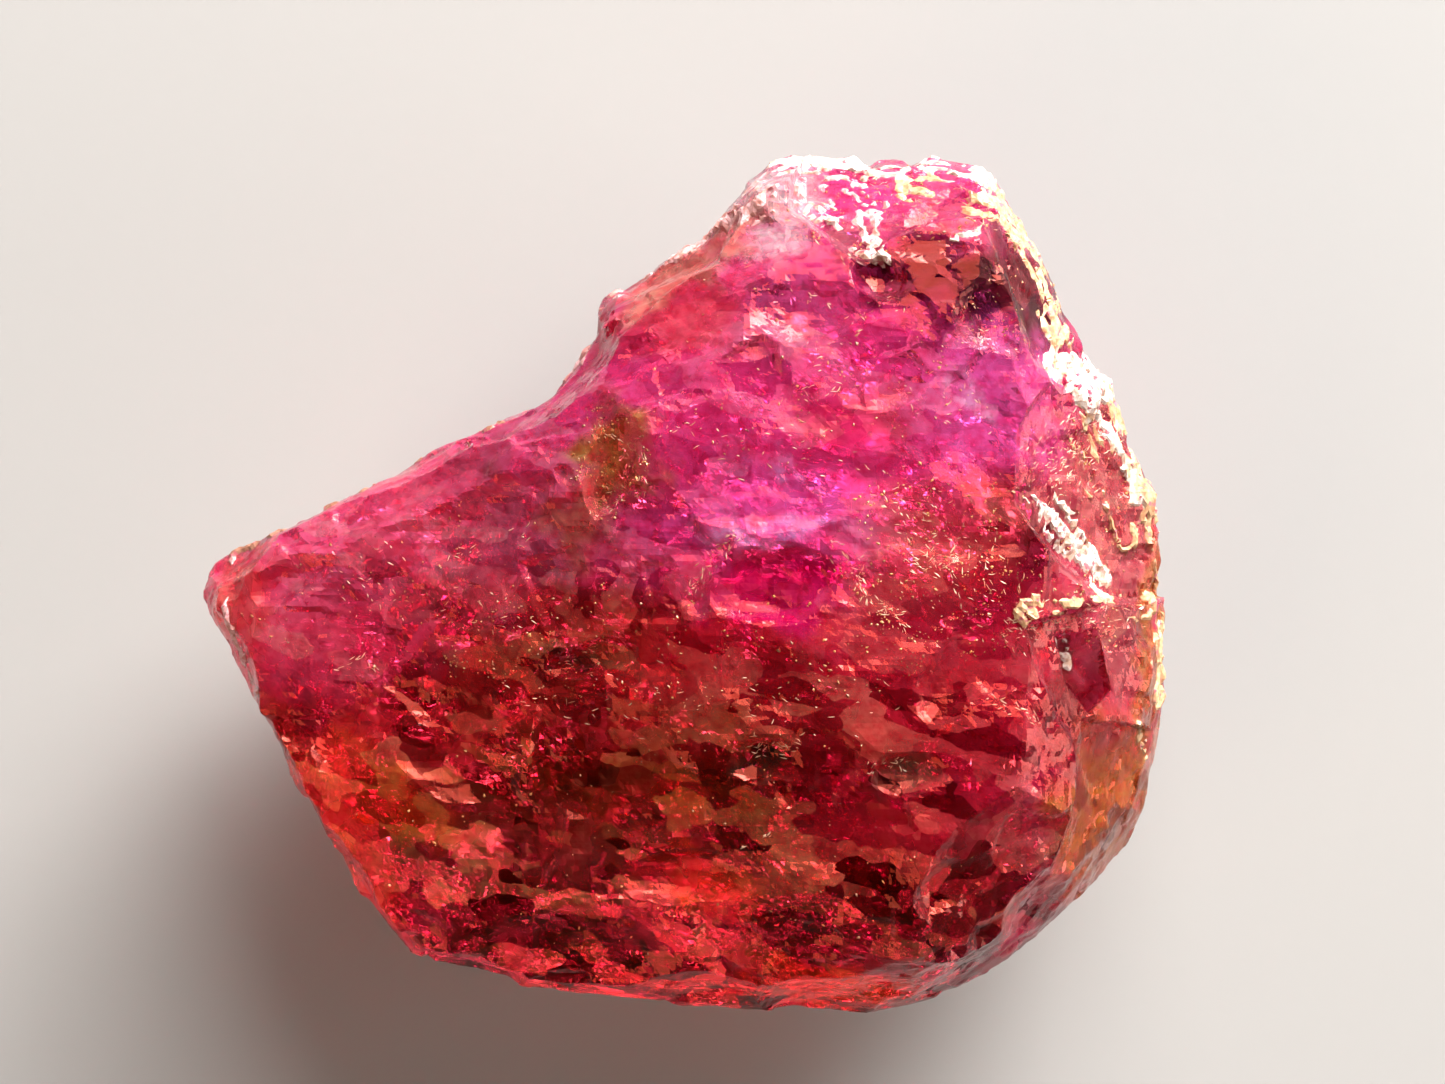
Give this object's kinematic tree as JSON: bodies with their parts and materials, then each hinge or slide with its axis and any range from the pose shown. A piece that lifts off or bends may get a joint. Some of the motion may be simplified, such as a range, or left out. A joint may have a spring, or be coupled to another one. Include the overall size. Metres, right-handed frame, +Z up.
{
  "type": "alexandrite crystal",
  "caption": "Rough, see-through alexandrite gem crystal: a broken, wedge-shaped purple-red stone with a pointed end, a notched side and a crumbled top; lies flat as a specimen.",
  "frame": {"origin": "Middle of the stone's bounding box in plan, at the height of the broad flat face that it rests on", "axes": "+X runs from the pointed end to the bulging side, the stone's longest way; +Y runs from the thick butt to the thin crumbled top; +Z points up, out of the broad upper side and away from the resting face"},
  "size_m": [0.016, 0.0144, 0.0069],
  "materials": {
    "crystal": "see-through purple-red gem with glassy, broken, partly frosted faces and a glow of magenta"
  },
  "bodies": {
    "root": {"crystal": "crystal"}
  },
  "joints": []
}
